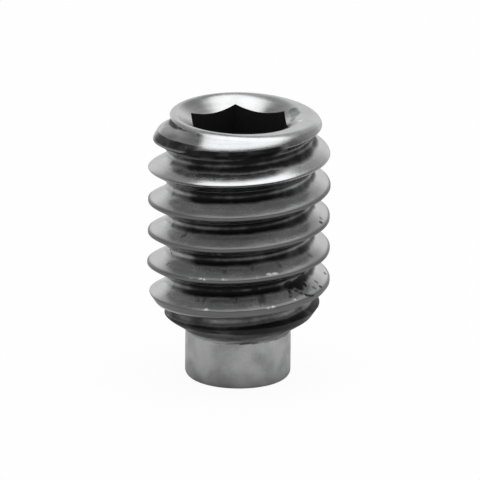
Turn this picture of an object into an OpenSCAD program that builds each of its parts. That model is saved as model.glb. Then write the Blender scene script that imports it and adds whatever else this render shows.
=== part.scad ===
// Hexagon socket set screw with a dog point: one rolled and turned piece of steel.
// It stands on its dog point. The axis is Z, and the end face of the point is at z = 0.

/* [Thread] */
// Diameter over the thread's crests
thread_d = 3.95; // [3.8:0.01:4.2]
// Rise of the thread in one turn, right-handed
pitch = 0.7; // [0.6:0.05:0.8]
// Depth of the groove, from crest to root
thread_depth = 0.4; // [0.34:0.01:0.42]
// Width of the flat along the crest
crest_w = 0.05; // [0.04:0.01:0.12]
// Angle between the two flanks of a ridge
flank_angle = 60; // [50:1:62]
// Height of the lowest whole crest above the dog point, on the +X side
first_crest_h = 1.12; // [0.9:0.01:1.6]

/* [Body] */
// Overall length, from the end of the dog point to the rim of the socket
length = 5.96; // [5.5:0.01:8]
// Outer diameter of the flat rim around the socket
rim_d = 3.14; // [3:0.01:3.24]
// Slope of the chamfer below the rim, from the horizontal
chamfer_angle = 54; // [40:1:60]
// Height over which the crests run down towards the chamfer
lead_h = 0.7; // [0.4:0.02:1.2]
// Radius that the crests have lost where they meet the chamfer
lead_drop = 0.21; // [0.08:0.01:0.26]
// Diameter of the edge between the shoulder and the thread's lower chamfer
shoulder_d = 3.16; // [2.8:0.02:3.4]
// Slope of the shoulder between the dog point and that edge, from the horizontal
shoulder_angle = 33; // [20:1:45]
// Slope of the thread's lower chamfer, from the horizontal
run_out_angle = 56; // [45:1:65]

/* [Dog point] */
// Diameter of the dog point
dog_d = 2.28; // [2.1:0.02:2.5]
// Length of the dog point, from its end to the shoulder
dog_len = 1.1; // [0.9:0.02:2.2]
// Radius of the rounded edge around the end of the dog point
dog_round = 0.14; // [0.05:0.01:0.2]

/* [Socket] */
// Width of the hexagon across its flats
hex_af = 2.02; // [1.9:0.01:2.1]
// Depth of the hexagon, from the rim
hex_depth = 2; // [1.5:0.1:2.6]
// Turn of the hexagon about the screw's axis
hex_turn = 5; // [0:1:60]
// Width of metal that the broach takes off each flat beyond the drilled hole
broach_w = 0.04; // [0.02:0.01:0.1]
// Angle of the drilled cone at the bottom of the socket
drill_angle = 120; // [100:1:140]
// Diameter of the countersink at the rim
countersink_d = 2.96; // [2.5:0.02:2.98]
// Angle of the countersink
countersink_angle = 112; // [90:1:130]

/* [Quality] */
// Flat faces in one turn of the thread
turn_faces = 72; // [48:12:96]
// Flat faces around the rounded edge of the dog point
round_faces = 4; // [3:1:8]

/* [Hidden] */
$fn = 96;

thread_r = thread_d / 2;
root_r = thread_r - thread_depth;
lead_r = thread_r - lead_drop;
rim_r = rim_d / 2;
shoulder_r = shoulder_d / 2;
dog_r = dog_d / 2;

// A cutting shape passes the face that it cuts by this much.
past = 0.3;

// Height of the first whole crest, at the angle where the thread starts.
crest_z = dog_len + first_crest_h;

// One ridge as [radius, height from its crest]. It comes to an edge outside the blank,
// which leaves the flat of crest_w along the crest.
edge_r = thread_r + crest_w / 2 / tan(flank_angle / 2);
ridge_h = (edge_r - root_r) * tan(flank_angle / 2);
ridge = [[root_r, -ridge_h], [edge_r, 0], [root_r, ridge_h]];

// The shape that is turned before the thread is rolled, as one half outline.
module blank() {
    shoulder_z = dog_len + (shoulder_r - dog_r) * tan(shoulder_angle);
    run_out_z = shoulder_z + (thread_r - shoulder_r) * tan(run_out_angle);
    chamfer_z = length - (lead_r - rim_r) * tan(chamfer_angle);
    dog_edge = [
        for (i = [0:round_faces])
            let (angle = 90 * i / round_faces)
            [
                dog_r - dog_round + dog_round * sin(angle),
                dog_round - dog_round * cos(angle)
            ]
    ];
    outline = concat(
        [[0, 0]],
        dog_edge,
        [
            [dog_r, dog_len],
            [shoulder_r, shoulder_z],
            [thread_r, run_out_z],
            [thread_r, chamfer_z - lead_h],
            [lead_r, chamfer_z],
            [rim_r, length],
            [0, length]
        ]
    );
    rotate_extrude() polygon(outline);
}

// A rod with the thread all along it, longer than the screw at both ends. Its points
// stand in columns around the axis, and each column holds one ridge above another.
module threaded_rod() {
    first = floor(-crest_z / pitch) - 1;
    last = ceil((length - crest_z) / pitch);
    corners = len(ridge);
    rows = corners * (last - first + 1);
    top_row = rows - 1;

    function corner(column, row) =
        let (angle = 360 * column / turn_faces)
        let (turns = first + floor(row / corners) + column / turn_faces)
        let (place = ridge[row % corners])
        [
            place[0] * cos(angle),
            place[0] * sin(angle),
            crest_z + pitch * turns + place[1]
        ];

    // After a whole turn, a column meets the first one a ridge higher up. The rows that
    // only the first column needs stand at the end of the list of points.
    function at(column, row) =
        column == turn_faces ? at(0, row + corners)
        : row < rows ? column * rows + row
        : turn_faces * rows + row - rows;

    columns = [
        for (column = [0:turn_faces - 1])
            for (row = [0:top_row])
                corner(column, row)
    ];
    extra_rows = [for (row = [rows:top_row + corners]) corner(0, row)];
    ends = [
        [0, 0, crest_z + pitch * (first + 0.5) - ridge_h],
        [0, 0, crest_z + pitch * (last + 0.5) + ridge_h]
    ];
    points = concat(columns, extra_rows, ends);
    bottom = len(points) - 2;
    top = len(points) - 1;

    sides = [
        for (column = [0:turn_faces - 1])
            for (row = [0:top_row - 1])
                let (here = at(column, row), above = at(column, row + 1))
                let (next = at(column + 1, row), next_above = at(column + 1, row + 1))
                each [[here, above, next_above], [here, next_above, next]]
    ];
    bottom_cap = concat(
        [for (column = [0:turn_faces - 1]) [bottom, at(column, 0), at(column + 1, 0)]],
        [for (row = [0:corners - 1]) [bottom, at(0, row + 1), at(0, row)]]
    );
    top_cap = concat(
        [for (column = [0:turn_faces - 1]) [top, at(column + 1, top_row), at(column, top_row)]],
        [for (row = [top_row:top_row + corners - 1]) [top, at(0, row), at(0, row + 1)]]
    );
    polyhedron(points, concat(sides, bottom_cap, top_cap));
}

// The hexagon socket, with its drilled bottom and the countersink at its mouth.
module socket() {
    hex_corner_r = hex_af / 2 / cos(30);
    drill_r = hex_af / 2 - broach_w;
    tip_h = drill_r / tan(drill_angle / 2);
    mouth_r = countersink_d / 2;
    mouth_h = mouth_r / tan(countersink_angle / 2);
    scale_up = (mouth_h + past) / mouth_h;
    translate([0, 0, length - hex_depth])
        rotate(30 + hex_turn)
        cylinder(h = hex_depth + past, r = hex_corner_r, $fn = 6);
    translate([0, 0, length - hex_depth - tip_h])
        cylinder(h = tip_h, r1 = 0, r2 = drill_r);
    translate([0, 0, length - mouth_h])
        cylinder(h = mouth_h + past, r1 = 0, r2 = mouth_r * scale_up);
}

module set_screw() {
    color("#8f9194")
        difference() {
            intersection() {
                blank();
                threaded_rod();
            }
            socket();
        }
}

set_screw();
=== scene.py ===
"""Hexagon socket set screw with a dog point, standing on the point: one dense steel mesh over
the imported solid, on a plain white floor under a soft overhead light.

The frame is that of the part: metres, Z along the screw, z = 0 at the end of the dog point. The
camera looks along +Y, so the left is -X and the right is +X. Angles run from +X towards +Y."""

from math import cos, pi, radians, sin, tan

import bpy
import numpy as np
from mathutils import Matrix, Vector


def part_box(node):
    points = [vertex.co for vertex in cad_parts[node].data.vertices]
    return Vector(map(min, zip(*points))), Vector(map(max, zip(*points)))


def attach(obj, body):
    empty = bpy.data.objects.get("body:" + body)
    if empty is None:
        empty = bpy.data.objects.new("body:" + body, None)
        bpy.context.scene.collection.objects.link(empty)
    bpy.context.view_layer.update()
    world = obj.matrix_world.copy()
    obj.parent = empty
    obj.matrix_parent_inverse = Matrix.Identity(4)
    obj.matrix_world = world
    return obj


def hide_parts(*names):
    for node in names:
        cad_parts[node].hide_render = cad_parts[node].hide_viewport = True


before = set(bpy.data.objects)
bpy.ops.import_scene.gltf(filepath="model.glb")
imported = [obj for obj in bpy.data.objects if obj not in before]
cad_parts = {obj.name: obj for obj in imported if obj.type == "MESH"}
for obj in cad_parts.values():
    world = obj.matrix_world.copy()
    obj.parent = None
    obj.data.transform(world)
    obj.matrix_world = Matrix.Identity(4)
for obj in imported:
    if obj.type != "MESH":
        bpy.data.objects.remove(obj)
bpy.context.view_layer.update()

MM = 0.001
low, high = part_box("set_screw")

# ---------------------------------------------------------------- sizes, in millimetres
# the whole screw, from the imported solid
LENGTH = (high[2] - low[2]) / MM
THREAD_R = (high[0] - low[0]) / 2 / MM

# thread; a slope is the rise along the axis for each unit outwards
PITCH = 0.7
ROOT_R = THREAD_R - 0.40
FLANK = tan(radians(30))
FIRST_CREST = 2.22  # height of a whole crest on the +X side
FIRST_TOP_CREST = 4.65  # the topmost whole crest starts at this height, at the left
CREST_WEAR = 0.010  # what the crests have lost in height
CREST_ROUND = 0.014  # of the round on a crest, along the axis
ROUND_NEAR_SOCKET = 0.040  # added to it above the edge of the upper crests
FLAT = 0.045  # width of the flat below a crest's edge
FLAT_LOWEST = 0.065  # added to it on the lowest whole crest
THINNED = 0.07  # what the ridge that the chamfer cuts has lost on its lower flank
ROOT_ROUND = 0.16  # width over which a flank and the root blend
ROOT_DEEPER = 0.09  # how much deeper the groove is under the rim
ROOT_SHARPER = 0.10  # and how much less its root is rounded there

# dog point and shoulder
DOG_R = 1.14
DOG_LEN = 1.10
DOG_ROUND = 0.14
SHOULDER_R = 1.58
SHOULDER = tan(radians(33))
RUN_OUT = tan(radians(56))
SHOULDER_Z = DOG_LEN + (SHOULDER_R - DOG_R) * SHOULDER
NECK_Z = DOG_LEN - 0.08  # where the thread's mesh starts, below the shoulder's rounded corner

# socket end
OFF_CENTRE = 0.112  # the turned end's distance from the thread's axis
OFF_TOWARDS = radians(-8)  # the side on which it stands out
OUT_OF_SQUARE = 0.13  # how much lower the rim is opposite its highest point
HIGH_TOWARDS = radians(147)  # the side on which the rim is highest
MIDDLE_Z = LENGTH - OUT_OF_SQUARE / 2  # height of the rim midway between the two
RIM_R = 1.545
RIM_ROUND = 0.26
CHAMFER_ANGLE = radians(48)
CHAMFER = tan(CHAMFER_ANGLE)
STEEPER = 0.17  # how much less the chamfer goes outwards at the left, for each unit down
LEAD_R = THREAD_R - 0.185  # radius of the crests where the chamfer meets them
LEAD_H = 0.68  # height over which the crests run down to it
CHAMFER_Z = MIDDLE_Z - (LEAD_R - RIM_R) * CHAMFER
RIM_CENTRE = RIM_R - RIM_ROUND * tan(CHAMFER_ANGLE / 2)  # of the round between face and chamfer
RIM_EDGE = RIM_CENTRE + RIM_ROUND * sin(CHAMFER_ANGLE)
MOUTH_R = 1.385  # of the countersink, at the middle height of the rim
MOUTH_SLOPE = tan(radians(34))
HEX_R = 1.01  # to the middle of a flat
HEX_DEPTH = 2.0
HEX_TURN = 5.0
DRILL_R = 0.97
DRILL_SLOPE = tan(radians(60))  # outwards for each unit up

# widths over which two surfaces blend into each other
SHARP_BLEND = 0.03
EDGE_BLEND = 0.05
MOUTH_BLEND = 0.09
NECK_BLEND = 0.10

# mesh
COLUMNS = 330  # a multiple of 6, so that a column runs down each corner of the hexagon
COLUMN_0 = radians(30 + HEX_TURN)
SMALLEST_STEP = 0.005  # between the thread's rows and the rings at its two ends
ROUND_STEPS = 8  # down the dog point's side, and as many around its edge
RIM_STEPS = 25  # over the rim and down the countersink
SHARP_FROM = radians(38)  # edges are shaded sharp from this angle


def soft_min(a, b, width):
    """The smaller of two values, blended where they differ by less than the width."""
    h = np.maximum(width - np.abs(a - b), 0) / width
    return np.minimum(a, b) - h * h * width / 4


def soft_max(a, b, width):
    """The larger of two values, blended in the same way."""
    return -soft_min(-a, -b, width)


def smooth(x, start, end):
    """0 up to the start and 1 from the end, with an S-curve between them."""
    t = np.clip((x - start) / (end - start), 0, 1)
    return t * t * (3 - 2 * t)


# ---------------------------------------------------------------- the turned and rolled skin
def helix(angle, z):
    """Distance from the nearest crest, along the axis, and that crest's own height."""
    turns = (z - FIRST_CREST) / PITCH - angle / (2 * pi)
    off = (turns - np.round(turns)) * PITCH
    return off, z - off


def groove_height(off, crest_z):
    """Height of the middle of the groove that a point on a flank faces."""
    return crest_z + np.where(off > 0, 0.5, -0.5) * PITCH


def near_socket(crest_z):
    """1 from the topmost whole crest upwards, and 0 on the turns below it."""
    return smooth(crest_z, FIRST_TOP_CREST - 0.15, FIRST_TOP_CREST)


def end_shift(angle):
    """How far the turned end stands out at an angle, being off the thread's centre."""
    return OFF_CENTRE * np.cos(angle - OFF_TOWARDS)


def end_drop(angle):
    """How much lower the rim is at an angle than at its highest point."""
    return OUT_OF_SQUARE * (1 - np.cos(angle - HIGH_TOWARDS)) / 2


def chamfer_radius(angle, z):
    """Radius of the chamfer, which is steeper on the left, where the ridge is highest."""
    outwards = 1 / CHAMFER - STEEPER * smooth(-np.cos(angle), 0.45, 0.75)
    return RIM_R + end_shift(angle) + (LENGTH - end_drop(angle) - z) * outwards


def end_cone(angle, z):
    """Radius of the chamfer at the socket end, and of the lead that runs up to it."""
    lead = LEAD_R + (CHAMFER_Z - z) * (THREAD_R - LEAD_R) / LEAD_H
    return soft_min(chamfer_radius(angle, z), lead, EDGE_BLEND)


def edge_distance(off, crest_z):
    """Distance from the crest's flat, which lies below its edge. The flat is widest on the
    lowest whole crest, and the ridge that the chamfer cuts is thin instead. Both end at the
    root, where one turn meets the next."""
    lowest = 1 - smooth(crest_z, FIRST_CREST - 0.12, FIRST_CREST + 0.05)
    flat = (FLAT + FLAT_LOWEST * lowest) * (1 - near_socket(crest_z))
    thin = THINNED * smooth(crest_z, FIRST_TOP_CREST + 0.70, FIRST_TOP_CREST + 0.95)
    off_root = 1 - smooth(-off, 0.15, 0.34)
    return np.where(off < 0, np.minimum(off + flat * off_root, 0) - thin * off_root, off)


def uneven_crest(crest_z):
    """A rolled crest's small rise and fall along the helix, as three waves."""
    along = 2 * pi * (crest_z - FIRST_CREST) / PITCH  # whole angle run along the helix
    waves = 0.004 * np.sin(2.3 * along + 1) + 0.003 * np.sin(5.1 * along + 4)
    return waves + 0.0025 * np.sin(11.7 * along + 2)


def skin(angle, z):
    """Radius of the outside at an angle and a height, from the neck up to the brim."""
    off, crest_z = helix(angle, z)
    tip = CREST_ROUND + ROUND_NEAR_SOCKET * near_socket(crest_z) * (off > 0)
    crest = THREAD_R - CREST_WEAR + uneven_crest(crest_z)
    from_edge = edge_distance(off, crest_z)
    ridge_r = crest + tip / FLANK - np.sqrt(from_edge * from_edge + tip * tip) / FLANK
    groove_z = groove_height(off, crest_z)
    under_rim = smooth(groove_z, MIDDLE_Z - 0.50, MIDDLE_Z - 0.25)
    root = ROOT_R - ROOT_DEEPER * under_rim
    r = soft_max(ridge_r, root, ROOT_ROUND - ROOT_SHARPER * under_rim)

    # the chamfer and the lead at the socket end, where the groove fills up and runs out
    outside = end_cone(angle, z)
    run_out = smooth(groove_z, MIDDLE_Z - 0.15, MIDDLE_Z - 0.045)
    filled = r + run_out * np.maximum(outside + SHARP_BLEND - r, 0)
    r = soft_min(filled, outside, SHARP_BLEND)

    # the lower chamfer and the shoulder at the dog point
    lower = SHOULDER_R + (z - SHOULDER_Z) / RUN_OUT
    shoulder = DOG_R + (z - DOG_LEN) / SHOULDER
    r = soft_min(r, soft_min(lower, shoulder, EDGE_BLEND), SHARP_BLEND)
    return soft_max(r, DOG_R + 0 * z, NECK_BLEND)


def end_height(angle, r):
    """Height of the socket end at a radius, over its rounded rim and the countersink."""
    top = LENGTH - end_drop(angle)
    past = np.maximum(r - RIM_CENTRE - end_shift(angle), 0)
    rim = top - RIM_ROUND + np.sqrt(RIM_ROUND ** 2 - past ** 2)
    mouth = MIDDLE_Z + (r - MOUTH_R) * MOUTH_SLOPE
    return soft_min(rim, mouth, MOUTH_BLEND)


def hex_radius(angle):
    """Radius of the hexagon's wall at an angle."""
    part = np.mod(angle - COLUMN_0, pi / 3)
    return HEX_R / np.cos(part - pi / 6)


# ---------------------------------------------------------------- dirt, wear, painted shade and painted highlights
# Small marks, each as an angle in degrees, a height, and half its width around the screw and
# half its height in millimetres: black smudges with painted shade over a dent, faint stains, black
# specks and scratches, and painted highlights where small dents would shine.
# black smudges, and painted shade over a dent on the flank at the right, from -47 to -29 degrees
SMUDGES_AND_DENT_SHADE = [
    (-127, 2.44, 0.13, 0.03), (-76.5, 2.43, 0.10, 0.09), (-79, 2.47, 0.16, 0.035),
    (-45, 2.42, 0.24, 0.035), (-47, 2.40, 0.22, 0.13), (-39, 2.38, 0.20, 0.16),
    (-34, 2.44, 0.16, 0.12), (-29, 2.46, 0.13, 0.15), (-33, 2.36, 0.10, 0.10),
]
STAINS = [
    (-115.5, 2.15, 0.05, 0.12), (-91.5, 2.19, 0.05, 0.12), (-75, 2.20, 0.05, 0.12),
    (-72, 2.24, 0.09, 0.16), (-133, 3.52, 0.06, 0.05), (-100, 2.86, 0.10, 0.06),
    (-80, 2.92, 0.07, 0.08), (-60, 2.95, 0.10, 0.07), (-30, 2.98, 0.10, 0.06),
    (-28, 2.25, 0.08, 0.05), (-20, 2.30, 0.06, 0.05), (-150, 2.76, 0.08, 0.05),
]
SPECKS = [
    (-19.5, 3.645, 0.06, 0.025), (-134, 3.50, 0.045, 0.025), (-158.5, 2.99, 0.04, 0.03),
    (-156, 2.935, 0.03, 0.05), (0.5, 2.295, 0.07, 0.02), (-22, 2.225, 0.06, 0.025),
    (-14.5, 3.68, 0.03, 0.02), (-51.5, 2.22, 0.05, 0.03), (-49.5, 2.29, 0.035, 0.06),
    (-47.5, 2.36, 0.045, 0.05), (-47, 2.465, 0.06, 0.04), (-44, 2.285, 0.06, 0.035),
    (-42, 2.235, 0.07, 0.035), (-39.5, 2.195, 0.07, 0.03), (-37.5, 2.17, 0.07, 0.028),
    (-35.5, 2.155, 0.07, 0.024), (-48, 2.565, 0.06, 0.03), (-127, 2.45, 0.07, 0.025),
    (-77, 2.50, 0.07, 0.03), (-76.5, 2.40, 0.045, 0.05), (-76.5, 2.33, 0.10, 0.022),
    (-43.5, 2.39, 0.05, 0.035),
]
# painted highlights: spots made brighter where small dents would catch the light
PAINTED_GLINTS = [
    (-115, 2.715, 0.04, 0.018), (-111.5, 2.715, 0.05, 0.024), (-99, 2.755, 0.06, 0.025),
    (-70, 2.83, 0.06, 0.025), (-66, 2.835, 0.08, 0.02), (-70.5, 2.09, 0.05, 0.018),
    (-67.5, 2.10, 0.05, 0.025), (-111, 2.035, 0.05, 0.022), (-50.5, 2.165, 0.04, 0.02),
    (-79, 2.78, 0.06, 0.012), (-122, 2.69, 0.05, 0.012),
]

# the same in the countersink: stains, and a painted highlight
MOUTH_STAINS = [(24, 5.80, 0.22, 0.08), (15, 5.78, 0.26, 0.09), (7, 5.73, 0.18, 0.07)]
MOUTH_PAINTED_GLINTS = [(-11, 5.822, 0.06, 0.03)]

# where the chamfer is dull and painted darker, at the left: painted shade
DULL_SHADED_PLACES = [(-160, 5.62, 0.55, 0.16), (178, 5.70, 0.40, 0.12)]

# how strong the faint ones are
STAIN = 0.69
MOUTH_STAIN = 0.70
DULLNESS_AND_SHADE = 0.75


def marks(places, angle, r, z):
    """How strongly each point is covered by the nearest of the marks."""
    covered = np.zeros(z.shape)
    for degrees, height, half_width, half_height in places:
        turned = np.angle(np.exp(1j * (angle - radians(degrees))))
        distance = np.hypot(turned * r / half_width, (z - height) / half_height)
        covered = np.maximum(covered, 1 - smooth(distance, 0.5, 1.1))
    return covered


def groove_shade(angle, off, crest_z, under):
    """Painted shade in the groove. A point lies this far under the chamfer and the lead, which
    get none themselves."""
    groove_z = groove_height(off, crest_z)
    from_crest = np.abs(off)
    to_right = np.cos(angle)
    to_left = -to_right
    # the painted shade lies in the corners beside the root, fades out along the upper flank, and is
    # a little less on the root itself
    reach = 0.13 - 0.04 * smooth(to_right, 0.4, 0.75) * (1 - smooth(to_right, 0.87, 0.95))
    dirt = np.where(off < 0, smooth(-off, 0.18, 0.25), smooth(off, reach, reach + 0.14))
    dirt = dirt - 0.25 * smooth(from_crest, 0.30, 0.34)
    # it fades out at the left, and is a little less at the right, following where the shade falls
    dirt = dirt * (1 - 0.30 * smooth(to_left, 0.50, 0.75))
    dirt = dirt * (1 - smooth(to_left, 0.88, 0.97)) * (1 - 0.2 * smooth(to_right, 0.4, 0.75))
    # only the crease is shaded under the rim, up to where the groove runs out
    near_rim = smooth(groove_z, MIDDLE_Z - 0.50, MIDDLE_Z - 0.20)
    dirt = dirt + near_rim * (smooth(from_crest, 0.27, 0.32) - dirt)
    dirt = dirt * smooth(under, 0.0, 0.02 + 0.06 * near_rim)
    dirt = dirt * (1 - smooth(groove_z, MIDDLE_Z - 0.13, MIDDLE_Z - 0.06))
    # the lowest groove is less shaded than the others, and a little darker at its left
    lowest = 1 - smooth(groove_z, FIRST_CREST - 0.37, FIRST_CREST - 0.12)
    in_lowest = 0.76 * lowest * smooth(from_crest, 0.22, 0.28)
    in_lowest = in_lowest * (0.85 + 0.15 * smooth(to_left, 0.1, 0.7))
    return np.maximum(dirt * (1 - lowest), in_lowest)


def shoulder_shade(off, crest_z, z):
    """Painted shade all over the last part of the ridge above the dog point, and less on the
    shoulder.
    """
    last = 1 - smooth(crest_z, FIRST_CREST - 0.72, FIRST_CREST - 0.47)
    last = 0.95 * last * (1 - smooth(off, 0.23, 0.27))
    dirt = np.maximum(last, 1 - smooth(z, SHOULDER_Z + 0.05, SHOULDER_Z + 0.12))
    dirt = dirt * (0.70 + 0.30 * smooth(z, SHOULDER_Z - 0.03, SHOULDER_Z + 0.03))
    return dirt * smooth(z, DOG_LEN - 0.03, DOG_LEN + 0.06)


def top_ridge_shade(angle, off, r, z):
    """Painted shade on the outer band of the top ridge, under the chamfer's edge, on the front."""
    to_left = -np.cos(angle)
    near_chamfer = smooth(z, CHAMFER_Z - 0.45, CHAMFER_Z - 0.25)
    band = near_chamfer * smooth(chamfer_radius(angle, z) - r, 0.006, 0.02)
    band = band * (1 - smooth(off, 0.06, 0.10)) * smooth(to_left, -0.8, -0.4)
    at_left = near_chamfer * smooth(to_left, 0.30, 0.60)
    at_left = at_left * (1 - smooth(off, 0.12, 0.17)) * smooth(off, -0.08, 0.0)
    in_front = smooth(-np.sin(angle), -0.3, 0.3)
    return 0.9 * np.maximum(band, at_left) * in_front


def thread_values(angle, r, z):
    """What the material shows at points between the neck and the brim."""
    off, crest_z = helix(angle, z)
    under = end_cone(angle, z) - r
    # painted shade in the grooves, over the last ridge and under the chamfer's edge, then black
    # smudges with a dent's painted shade, and faint stains
    dirt = np.maximum(groove_shade(angle, off, crest_z, under), shoulder_shade(off, crest_z, z))
    dirt = np.maximum(dirt, top_ridge_shade(angle, off, r, z))
    dirt = np.maximum(dirt, marks(SMUDGES_AND_DENT_SHADE, angle, r, z))
    dirt = np.maximum(dirt, STAIN * marks(STAINS, angle, r, z))
    # the lower crests are dull and painted darker, which is painted shade, and so is a part of the
    # chamfer
    dull = 1 - smooth(np.abs(edge_distance(off, crest_z)), 0.02, 0.05)
    dull = dull * (1 - smooth(z, 4.3, 4.7))
    dull = np.maximum(dull, DULLNESS_AND_SHADE * marks(DULL_SHADED_PLACES, angle, r, z))
    return {"dirt": dirt, "dull": dull, "speck": marks(SPECKS, angle, r, z),
            "glint": marks(PAINTED_GLINTS, angle, r, z), "lay": np.abs(off)}


# ---------------------------------------------------------------- the mesh
# What each point of the mesh holds for the material, from 0 to 1: dirt and painted shade, dull
# steel that is also painted darker, the satin of the dog point, the socket's painted shade, specks
# and painted glints. The last one, lay, is a distance in millimetres across the marks that rolling
# and turning left.
VALUES = ("dirt", "dull", "satin", "socket", "speck", "glint", "lay")


class Surface:
    """Points and faces, built up ring by ring, with the values kept for each point."""

    def __init__(self):
        self.points = []
        self.faces = []
        self.values = []
        self.count = 0

    def add(self, points, **values):
        """Adds points and gives back their numbers. The values that aren't named are 0, and
        lay is the height."""
        points = np.asarray(points)
        n = len(points)
        values.setdefault("lay", points[:, 2])
        columns = [values.get(name, 0.0) + np.zeros(n) for name in VALUES]
        self.points.append(points)
        self.values.append(np.stack(columns, axis=1))
        ids = np.arange(self.count, self.count + n)
        self.count += n
        return ids

    def quads(self, a, b, c, d):
        """Quads over four arrays of points; a corner met twice leaves a triangle."""
        for quad in zip(a.ravel(), b.ravel(), c.ravel(), d.ravel()):
            kept = []
            for q in quad:
                if q not in kept:
                    kept.append(int(q))
            if len(kept) > 2:
                self.faces.append(kept)

    def extend(self, ring, points, up, **values):
        """A new ring, joined to the last one by a band: upwards or inwards over the socket
        end where up is true, and downwards where it isn't."""
        new = self.add(points, **values)
        lower, upper = (ring, new) if up else (new, ring)
        self.quads(lower, np.roll(lower, -1), np.roll(upper, -1), upper)
        return new

    def fan(self, ring, centre, up, **values):
        """Triangles from the last ring to a point in its middle."""
        tip = int(self.add([centre], **values)[0])
        for a, b in zip(ring, np.roll(ring, -1)):
            self.faces.append([int(a), int(b), tip] if up else [int(b), int(a), tip])


def ring_points(angle, r, z):
    """Points at the given angles, radii and heights."""
    return np.stack([r * np.cos(angle), r * np.sin(angle), z + 0 * angle], axis=-1)


def row_offsets():
    """Distances of one turn's rows from the crest: close together over the crest, and wider
    on the flanks."""
    edges = (-0.35, -0.21, -0.07, 0.07, 0.21, 0.35)
    rows = (5, 5, 12, 5, 5)
    spans = zip(edges, edges[1:], rows)
    return np.concatenate([np.linspace(a, b, n, endpoint=False) for a, b, n in spans])


def build_thread(surface, angle):
    """The outside from the neck, at the foot of the shoulder, up to the brim, just below the
    rim's round. Its rows follow the helix. Gives back the rings at its two ends."""
    round_z = LENGTH - end_drop(angle) - RIM_ROUND * (1 - cos(CHAMFER_ANGLE))
    brim_z = round_z - 2 * SMALLEST_STEP
    offsets = row_offsets()
    per_turn = len(offsets)
    first = int(np.floor((NECK_Z - FIRST_CREST) / PITCH)) - 2
    turns = int(np.ceil((LENGTH - FIRST_CREST) / PITCH)) + 1 - first
    rows = per_turn * turns
    row_z = FIRST_CREST + PITCH * (first + np.arange(rows) // per_turn) + np.tile(offsets, turns)
    z = row_z[None, :] + PITCH * angle[:, None] / (2 * pi)

    above_neck = z > NECK_Z + SMALLEST_STEP
    below_brim = z < brim_z[:, None] - SMALLEST_STEP
    inside = above_neck & below_brim
    angle_in = np.repeat(angle[:, None], rows, axis=1)[inside]
    z_in = z[inside]
    r_in = skin(angle_in, z_in)
    ids = np.full(z.shape, -1)
    ids[inside] = surface.add(ring_points(angle_in, r_in, z_in),
                              **thread_values(angle_in, r_in, z_in))
    neck = surface.add(ring_points(angle, skin(angle, NECK_Z + 0 * angle), NECK_Z), satin=1.0)
    brim = surface.add(ring_points(angle, skin(angle, brim_z), brim_z))
    ids = np.where(above_neck, ids, neck[:, None])
    ids = np.where(below_brim, ids, brim[:, None])

    # after a whole turn a column meets the first one a ridge higher up
    seam = np.concatenate([ids[0, per_turn:], np.full(per_turn, brim[0])])
    wide = np.vstack([ids, seam[None, :]])
    surface.quads(wide[:-1, :-1], wide[1:, :-1], wide[1:, 1:], wide[:-1, 1:])
    return neck, brim


def build_dog_point(surface, angle, neck):
    """The dog point's side, its rounded edge and its end face."""
    heights = np.linspace(NECK_Z, DOG_ROUND, ROUND_STEPS + 1)
    outline = [(DOG_R, z) for z in heights[1:]]
    for turn in np.linspace(0, pi / 2, ROUND_STEPS + 1)[1:]:
        outline.append((DOG_R - DOG_ROUND * (1 - cos(turn)), DOG_ROUND * (1 - sin(turn))))
    outline += [(0.7, 0), (0.35, 0)]  # two rings on the end face
    ring = neck
    for r, z in outline:
        ring = surface.extend(ring, ring_points(angle, r, z), up=False, satin=1.0)
    surface.fan(ring, (0, 0, 0), up=False, satin=1.0)


def build_rim(surface, angle, brim):
    """Over the rounded rim and down the countersink, to the hexagon's edge."""
    edge_r = RIM_EDGE + end_shift(angle)
    wall_r = hex_radius(angle)
    ring = brim
    for t in np.linspace(0, 1, RIM_STEPS + 1):
        r = edge_r + (wall_r - edge_r) * t
        z = end_height(angle, r)
        within = smooth(MOUTH_R - r, 0.0, 0.03)
        # a faint stain, and a painted highlight, in the countersink
        ring = surface.extend(ring, ring_points(angle, r, z), up=True,
                              dirt=MOUTH_STAIN * within * marks(MOUTH_STAINS, angle, r, z),
                              glint=within * marks(MOUTH_PAINTED_GLINTS, angle, r, z))
    return ring


def build_socket(surface, angle, edge):
    """The hexagon's walls, the ledge under them and the drilled cone."""
    wall_r = hex_radius(angle)
    mouth_z = end_height(angle, wall_r)
    floor_z = LENGTH - HEX_DEPTH
    outline = [(wall_r, mouth_z + (floor_z - mouth_z) * t) for t in (0.01, 0.04, 0.12, 0.3, 0.6, 1)]
    for share in (1, 0.98, 0.7, 0.4, 0.1):
        r = DRILL_R * share
        outline.append((r, floor_z - (DRILL_R - r) / DRILL_SLOPE))
    ring = edge
    for r, z in outline:
        ring = surface.extend(ring, ring_points(angle, r, z), up=True, socket=1.0)
    surface.fan(ring, (0, 0, floor_z - DRILL_R / DRILL_SLOPE), up=True, socket=1.0)


def build_screw():
    """The whole screw as one closed mesh."""
    surface = Surface()
    angle = COLUMN_0 + 2 * pi * np.arange(COLUMNS) / COLUMNS
    neck, brim = build_thread(surface, angle)
    build_dog_point(surface, angle, neck)
    build_socket(surface, angle, build_rim(surface, angle, brim))

    mesh = bpy.data.meshes.new("steel_screw")
    mesh.from_pydata((np.concatenate(surface.points) * MM).tolist(), [], surface.faces)
    values = np.concatenate(surface.values)
    for i, name in enumerate(VALUES):
        mesh.attributes.new(name, "FLOAT", "POINT").data.foreach_set("value", values[:, i])
    mesh.validate()
    mesh.update()
    for face in mesh.polygons:
        face.use_smooth = True
    mesh.set_sharp_from_angle(angle=SHARP_FROM)
    screw = bpy.data.objects.new("steel_screw", mesh)
    bpy.context.scene.collection.objects.link(screw)
    return screw


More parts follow.
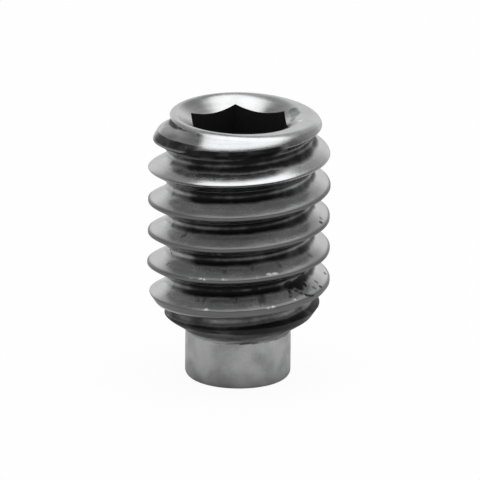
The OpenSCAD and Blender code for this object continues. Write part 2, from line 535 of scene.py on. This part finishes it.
# ---------------------------------------------------------------- materials
class Graph:
    """Short names for the nodes that a material or the world is built from."""

    def __init__(self, owner):
        owner.use_nodes = True
        self.tree = owner.node_tree
        self.tree.nodes.clear()

    def new(self, kind, **settings):
        node = self.tree.nodes.new(kind)
        for name, value in settings.items():
            setattr(node, name, value)
        return node

    def put(self, socket, value):
        """Links the socket to another node's output, or sets its own value."""
        if hasattr(value, "is_output"):
            self.tree.links.new(value, socket)
        else:
            socket.default_value = value

    def value(self, name):
        return self.new("ShaderNodeAttribute", attribute_name=name).outputs["Fac"]

    def math(self, operation, a, b=0.0):
        node = self.new("ShaderNodeMath", operation=operation)
        self.put(node.inputs[0], a)
        self.put(node.inputs[1], b)
        return node.outputs[0]

    def remap(self, x, from_low, from_high, to_low=0.0, to_high=1.0):
        node = self.new("ShaderNodeMapRange", interpolation_type="SMOOTHSTEP")
        for name, value in zip(("Value", "From Min", "From Max", "To Min", "To Max"),
                               (x, from_low, from_high, to_low, to_high)):
            self.put(node.inputs[name], value)
        return node.outputs[0]

    def spread(self, noise, to_low, to_high):
        """A noise, whose middle part is stretched over a range."""
        return self.remap(noise, 0.3, 0.7, to_low, to_high)

    def mix(self, share, a, b):
        node = self.new("ShaderNodeMix", data_type="FLOAT")
        for socket, value in zip(node.inputs[0:1] + node.inputs[2:4], (share, a, b)):
            self.put(socket, value)
        return node.outputs[0]

    def noise(self, vector, scale, detail=3.0, roughness=0.5):
        node = self.new("ShaderNodeTexNoise")
        self.put(node.inputs["Vector"], vector)
        self.put(node.inputs["Scale"], scale)
        self.put(node.inputs["Detail"], detail)
        self.put(node.inputs["Roughness"], roughness)
        return node.outputs[0]

    def join(self, kind, *parts):
        """A vector or a colour from its three parts."""
        node = self.new(kind)
        for socket, part in zip(node.inputs, parts):
            self.put(socket, part)
        return node.outputs[0]


def steel():
    """Bright rolled steel with painted shade and dark marks in the grooves, painted glints, and a
    mottled satin dog point.
    """
    material = bpy.data.materials.new("rolled_steel")
    g = Graph(material)
    out = g.new("ShaderNodeOutputMaterial")
    bsdf = g.new("ShaderNodeBsdfPrincipled")
    bsdf.inputs["Specular IOR Level"].default_value = 0.15
    g.put(out.inputs[0], bsdf.outputs[0])
    dull, satin, socket, speck = (g.value(name) for name in ("dull", "satin", "socket", "speck"))

    # the place on the screw in millimetres, and the same drawn out along the thread
    scaled = g.new("ShaderNodeVectorMath", operation="SCALE")
    g.put(scaled.inputs[0], g.new("ShaderNodeTexCoord").outputs["Object"])
    scaled.inputs["Scale"].default_value = 1 / MM
    place = scaled.outputs[0]
    split = g.new("ShaderNodeSeparateXYZ")
    g.put(split.inputs[0], place)
    x, y, z = split.outputs
    drawn = g.join("ShaderNodeCombineXYZ", g.math("MULTIPLY", x, 0.6), g.math("MULTIPLY", y, 0.6),
                   g.math("MULTIPLY", g.value("lay"), 14.0))
    blotch = g.noise(place, 1.6, 4.0, 0.6)
    streak = g.noise(drawn, 1.0, 4.0, 0.6)
    grain = g.noise(place, 22.0, 3.0, 0.6)
    patch = g.noise(place, 2.0, 1.5, 0.5)
    chip = g.noise(place, 12.0, 3.0, 0.6)

    # dirt and painted shade have a ragged edge, and the painted glints shine unevenly
    ragged = g.math("MULTIPLY", g.math("SUBTRACT", blotch, 0.5), 0.9)
    dirt = g.remap(g.math("ADD", g.value("dirt"), ragged), 0.35, 0.95)
    dirt = g.math("MAXIMUM", dirt, speck)
    glint = g.math("MULTIPLY", g.value("glint"), g.remap(chip, 0.38, 0.58))

    # the dog point is mottled, and painted darker towards its end: painted shade, where it reflects
    # the floor in the screw's shade
    dog_tone = g.math("ADD", g.remap(patch, 0.33, 0.67, 0.31, 0.46), g.spread(grain, -0.02, 0.02))
    dog_tone = g.math("MULTIPLY", dog_tone, g.remap(z, 0.0, 0.55, 0.74, 1.03))
    tone = g.math("ADD", g.spread(blotch, 0.29, 0.36), g.spread(streak, -0.03, 0.03))
    tone = g.mix(satin, tone, dog_tone)
    # dull crests and the dull part of the chamfer are painted darker: painted shade
    tone = g.mix(g.math("MULTIPLY", dull, 0.85), tone, 0.13)
    # painted highlights: brighter steel at the glints
    tone = g.mix(glint, tone, 0.70)
    # dirt and painted shade: nearly black, and not metal
    tone = g.mix(dirt, tone, 0.006)
    # painted shade in the socket: its walls are painted dark
    tone = g.mix(socket, tone, 0.10)
    colour = g.join("ShaderNodeCombineColor", tone, g.math("MULTIPLY", tone, 1.002),
                    g.math("MULTIPLY", tone, 1.012))
    g.put(bsdf.inputs["Base Color"], colour)
    g.put(bsdf.inputs["Metallic"], g.mix(dirt, 1.0, 0.0))

    rough = g.math("ADD", g.spread(blotch, 0.20, 0.28), g.spread(streak, -0.03, 0.04))
    rough = g.mix(satin, rough, g.spread(blotch, 0.40, 0.48))
    for share, level in ((dull, 0.45), (glint, 0.60), (dirt, 0.50), (socket, 0.45)):
        rough = g.mix(share, rough, level)
    g.put(bsdf.inputs["Roughness"], rough)

    bump = g.new("ShaderNodeBump")
    bump.inputs["Strength"].default_value = 0.3
    bump.inputs["Distance"].default_value = 0.004 * MM
    height = g.math("ADD", g.math("MULTIPLY", streak, 0.6), g.math("MULTIPLY", grain, 0.7))
    g.put(bump.inputs["Height"], height)
    g.put(bsdf.inputs["Normal"], bump.outputs[0])
    return material


def white_floor():
    """White for the camera and in reflections, but still dimmed where the screw shades it.
    It can be seen through from below."""
    material = bpy.data.materials.new("white_floor")
    g = Graph(material)
    diffuse = g.new("ShaderNodeBsdfDiffuse")
    diffuse.inputs["Color"].default_value = (0.70, 0.70, 0.70, 1)
    path = g.new("ShaderNodeLightPath")
    seen = g.math("MAXIMUM", path.outputs["Is Camera Ray"], path.outputs["Is Glossy Ray"])
    seen = g.math("MAXIMUM", seen, path.outputs["Is Transmission Ray"])
    # it glows all but fully for the camera, and only a little in the steel
    share = g.math("ADD", g.math("MULTIPLY", seen, 0.2),
                   g.math("MULTIPLY", path.outputs["Is Camera Ray"], 0.75))
    top = g.join("ShaderNodeMixShader", share, diffuse.outputs[0],
                 g.new("ShaderNodeEmission").outputs[0])
    sides = g.join("ShaderNodeMixShader", g.new("ShaderNodeNewGeometry").outputs["Backfacing"],
                   top, g.new("ShaderNodeBsdfTransparent").outputs[0])
    g.put(g.new("ShaderNodeOutputMaterial").inputs[0], sides)
    return material


# ---------------------------------------------------------------- the object
screw = build_screw()
screw.data.materials.append(steel())
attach(screw, "root")
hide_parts("set_screw")


# ---------------------------------------------------------------- floor, light and camera
def add_floor():
    """A round floor, a hair below the end face, so that the two don't mix."""
    radius, sides = 0.8, 64
    height = float(low[2]) - 0.01 * MM
    turns = [2 * pi * i / sides for i in range(sides)]
    edge = [(radius * cos(turn), radius * sin(turn), height) for turn in turns]
    mesh = bpy.data.meshes.new("floor")
    mesh.from_pydata(edge, [], [list(range(sides))])
    mesh.materials.append(white_floor())
    obj = bpy.data.objects.new("floor", mesh)
    bpy.context.scene.collection.objects.link(obj)
    return obj


def softbox(name, place, aim, width, depth, strength):
    """An elliptical overhead light whose own face has about the given brightness."""
    lamp = bpy.data.lights.new(name, "AREA")
    lamp.shape = "ELLIPSE"
    lamp.size, lamp.size_y = width, depth
    lamp.energy = strength * width * depth * pi * pi / 4
    obj = bpy.data.objects.new(name, lamp)
    obj.location = place
    obj.rotation_euler = (Vector(aim) - Vector(place)).to_track_quat("-Z", "Y").to_euler()
    bpy.context.scene.collection.objects.link(obj)


def studio():
    """A grey room, dark behind the camera and brightest beyond the screw."""
    world = bpy.data.worlds.new("studio")
    g = Graph(world)
    split = g.new("ShaderNodeSeparateXYZ")
    g.put(split.inputs[0], g.new("ShaderNodeTexCoord").outputs["Generated"])
    depth = g.new("ShaderNodeMapRange")
    depth.inputs["From Min"].default_value = -1
    depth.inputs["From Max"].default_value = 1
    g.put(depth.inputs["Value"], split.outputs["Y"])
    ramp = g.new("ShaderNodeValToRGB")
    g.put(ramp.inputs[0], depth.outputs[0])
    stops = ramp.color_ramp.elements
    stops[0].color = (0.02, 0.02, 0.02, 1)
    stops[1].color = (0.70, 0.70, 0.70, 1)
    for place, level in ((0.5, 0.147), (0.85, 0.50), (0.94, 1.0), (0.985, 0.72)):
        stops.new(place).color = (level, level, level, 1)
    background = g.new("ShaderNodeBackground")
    background.inputs[1].default_value = 1.5
    g.put(background.inputs[0], ramp.outputs[0])
    g.put(g.new("ShaderNodeOutputWorld").inputs[0], background.outputs[0])
    return world


def add_camera(middle):
    """A camera that looks down on the screw by 17.56 degrees, from 0.32 m. Its picture is as
    wide as view_width at the screw, and it aims a little to the right of the middle, and
    above it."""
    view_width, distance = 10.3515 * MM, 320.0 * MM
    elevation, roll = radians(17.56), radians(-0.5)
    back = Vector((0, -cos(elevation), sin(elevation)))
    right = Vector((1, 0, 0))
    up = back.cross(right)
    right, up = right * cos(roll) - up * sin(roll), up * cos(roll) + right * sin(roll)
    aim = middle + 0.0254 * MM * right + 0.0358 * MM * up
    data = bpy.data.cameras.new("camera")
    data.sensor_width = 36.0
    data.lens = data.sensor_width * distance / view_width
    data.clip_start = 0.01
    data.clip_end = 20
    obj = bpy.data.objects.new("camera", data)
    bpy.context.scene.collection.objects.link(obj)
    axes = Matrix((right, up, back)).transposed().to_4x4()
    obj.matrix_world = Matrix.Translation(aim + back * distance) @ axes
    return obj


add_floor()
middle = Vector((0, 0, float(low[2]) + 3.0 * MM))
# a brighter light within a wider and dimmer one, so that its reflection has a soft edge
softbox("overhead", (0.012, -0.07, 0.5), middle, 0.82, 0.52, 1.7)
softbox("overhead_edge", (0.012, -0.07, 0.52), middle, 1.08, 0.62, 1.1)
bpy.context.scene.world = studio()
bpy.context.scene.camera = add_camera(middle)
bpy.context.scene.view_settings.view_transform = "Standard"
